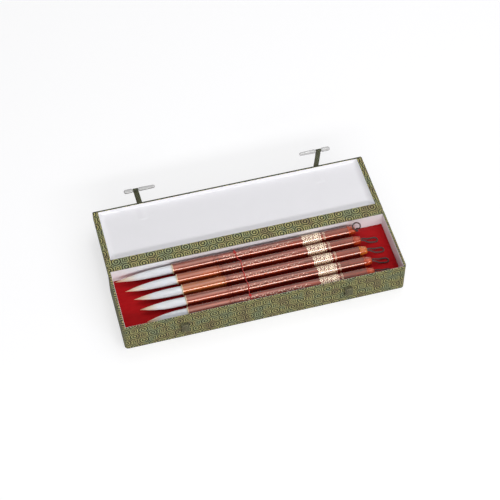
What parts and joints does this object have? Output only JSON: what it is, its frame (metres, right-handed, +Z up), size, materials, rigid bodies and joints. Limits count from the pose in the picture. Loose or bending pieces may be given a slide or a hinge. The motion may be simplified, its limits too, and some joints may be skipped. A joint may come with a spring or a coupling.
{
  "type": "calligraphy set box",
  "caption": "Long brocade-covered box with a padded satin floor, a shallow hinged lid, pin-and-loop clasps on cloth straps, and writing brushes tied down side by side.",
  "frame": {"origin": "centre of the tray's underside, on the surface it stands on", "axes": "+X along the box towards the brushes' caps, +Y from the front to the hinge, +Z up"},
  "size_m": [0.32, 0.193, 0.0575],
  "materials": {
    "card": "plain grey board",
    "foot_paper": "plain backing paper",
    "lining_paper": "smooth white paper",
    "brocade": "olive brocade woven with small flowers",
    "satin": "red padded satin",
    "padding": "wadding under olive brocade",
    "bone": "polished ivory-coloured",
    "thread": "red cotton thread",
    "hair": "soft pale animal hair",
    "lacquer": "red-brown lacquered, glossy",
    "lacquer_light": "orange-brown lacquered, glossy",
    "gilt": "thin gilt pattern",
    "cap": "amber lacquer, glossy",
    "cord": "dark brown twisted cord"
  },
  "bodies": {
    "tray": {"foot_sheet": "foot_paper", "bottom_board": "card", "front_wall": "card", "rear_wall": "card", "left_wall": "card", "right_wall": "card", "tray_cover": "brocade", "tray_lining": "lining_paper", "floor_risers": "card", "floor_board": "card", "floor_cushion": "satin", "left_pin_loop": "brocade", "right_pin_loop": "brocade", "hinge_cloth": "brocade", "tie_thread": "thread"},
    "lid": {"lid_board": "card", "lid_front_lip": "card", "lid_left_cheek": "card", "lid_right_cheek": "card", "lid_rail": "card", "lid_cover": "brocade", "lid_lining": "lining_paper", "lid_padding": "padding", "left_strap_tail": "brocade", "right_strap_tail": "brocade"},
    "left_strap": {"left_strap": "brocade"},
    "right_strap": {"right_strap": "brocade"},
    "left_pin": {"left_pin": "bone"},
    "right_pin": {"right_pin": "bone"},
    "brush_1": {"brush_1_hair": "hair", "brush_1_head": "lacquer", "brush_1_barrel": "lacquer", "brush_1_band": "gilt", "brush_1_cap": "cap", "brush_1_cord": "cord"},
    "brush_2": {"brush_2_hair": "hair", "brush_2_head": "lacquer_light", "brush_2_barrel": "lacquer", "brush_2_band": "gilt", "brush_2_cap": "cap", "brush_2_cord": "cord"},
    "brush_3": {"brush_3_hair": "hair", "brush_3_head": "lacquer_light", "brush_3_barrel": "lacquer", "brush_3_band": "gilt", "brush_3_cap": "cap", "brush_3_cord": "cord"},
    "brush_4": {"brush_4_hair": "hair", "brush_4_head": "lacquer", "brush_4_barrel": "lacquer", "brush_4_band": "gilt", "brush_4_cap": "cap", "brush_4_cord": "cord"},
    "brush_5": {"brush_5_hair": "hair", "brush_5_head": "lacquer", "brush_5_barrel": "lacquer", "brush_5_band": "gilt", "brush_5_cap": "cap", "brush_5_cord": "cord"}
  },
  "joints": [
    {"name": "lid_hinge", "type": "hinge", "parent": "tray", "child": "lid", "pos_m": [0, 0.04175, 0.0388], "axis": [1, 0, 0], "range_deg": [0, 180], "deforming": ["hinge_cloth"]},
    {"name": "left_strap_fold", "type": "hinge", "parent": "lid", "child": "left_strap", "pos_m": [-0.105, 0.1257, 0.0382], "axis": [1, 0, 0], "range_deg": [-23, 82.5]},
    {"name": "left_pin_turn", "type": "hinge", "parent": "left_strap", "child": "left_pin", "pos_m": [-0.105, 0.14367, 0.03914], "axis": [1, 0, 0], "range_deg": [-75, 0]},
    {"name": "right_strap_fold", "type": "hinge", "parent": "lid", "child": "right_strap", "pos_m": [0.105, 0.1257, 0.0382], "axis": [1, 0, 0], "range_deg": [-85, 20.5]},
    {"name": "right_pin_turn", "type": "hinge", "parent": "right_strap", "child": "right_pin", "pos_m": [0.105, 0.13331, 0.05451], "axis": [1, 0, 0], "range_deg": [-75, 0]},
    {"name": "brush_1_lift", "type": "slide", "parent": "tray", "child": "brush_1", "axis": [0, 0, 1], "range_m": [0, 0.06], "deforming": ["tie_thread"]},
    {"name": "brush_2_lift", "type": "slide", "parent": "tray", "child": "brush_2", "axis": [0, 0, 1], "range_m": [0, 0.06], "deforming": ["tie_thread"]},
    {"name": "brush_3_lift", "type": "slide", "parent": "tray", "child": "brush_3", "axis": [0, 0, 1], "range_m": [0, 0.06], "deforming": ["tie_thread"]},
    {"name": "brush_4_lift", "type": "slide", "parent": "tray", "child": "brush_4", "axis": [0, 0, 1], "range_m": [0, 0.06], "deforming": ["tie_thread"]},
    {"name": "brush_5_lift", "type": "slide", "parent": "tray", "child": "brush_5", "axis": [0, 0, 1], "range_m": [0, 0.06], "deforming": ["tie_thread"]}
  ]
}
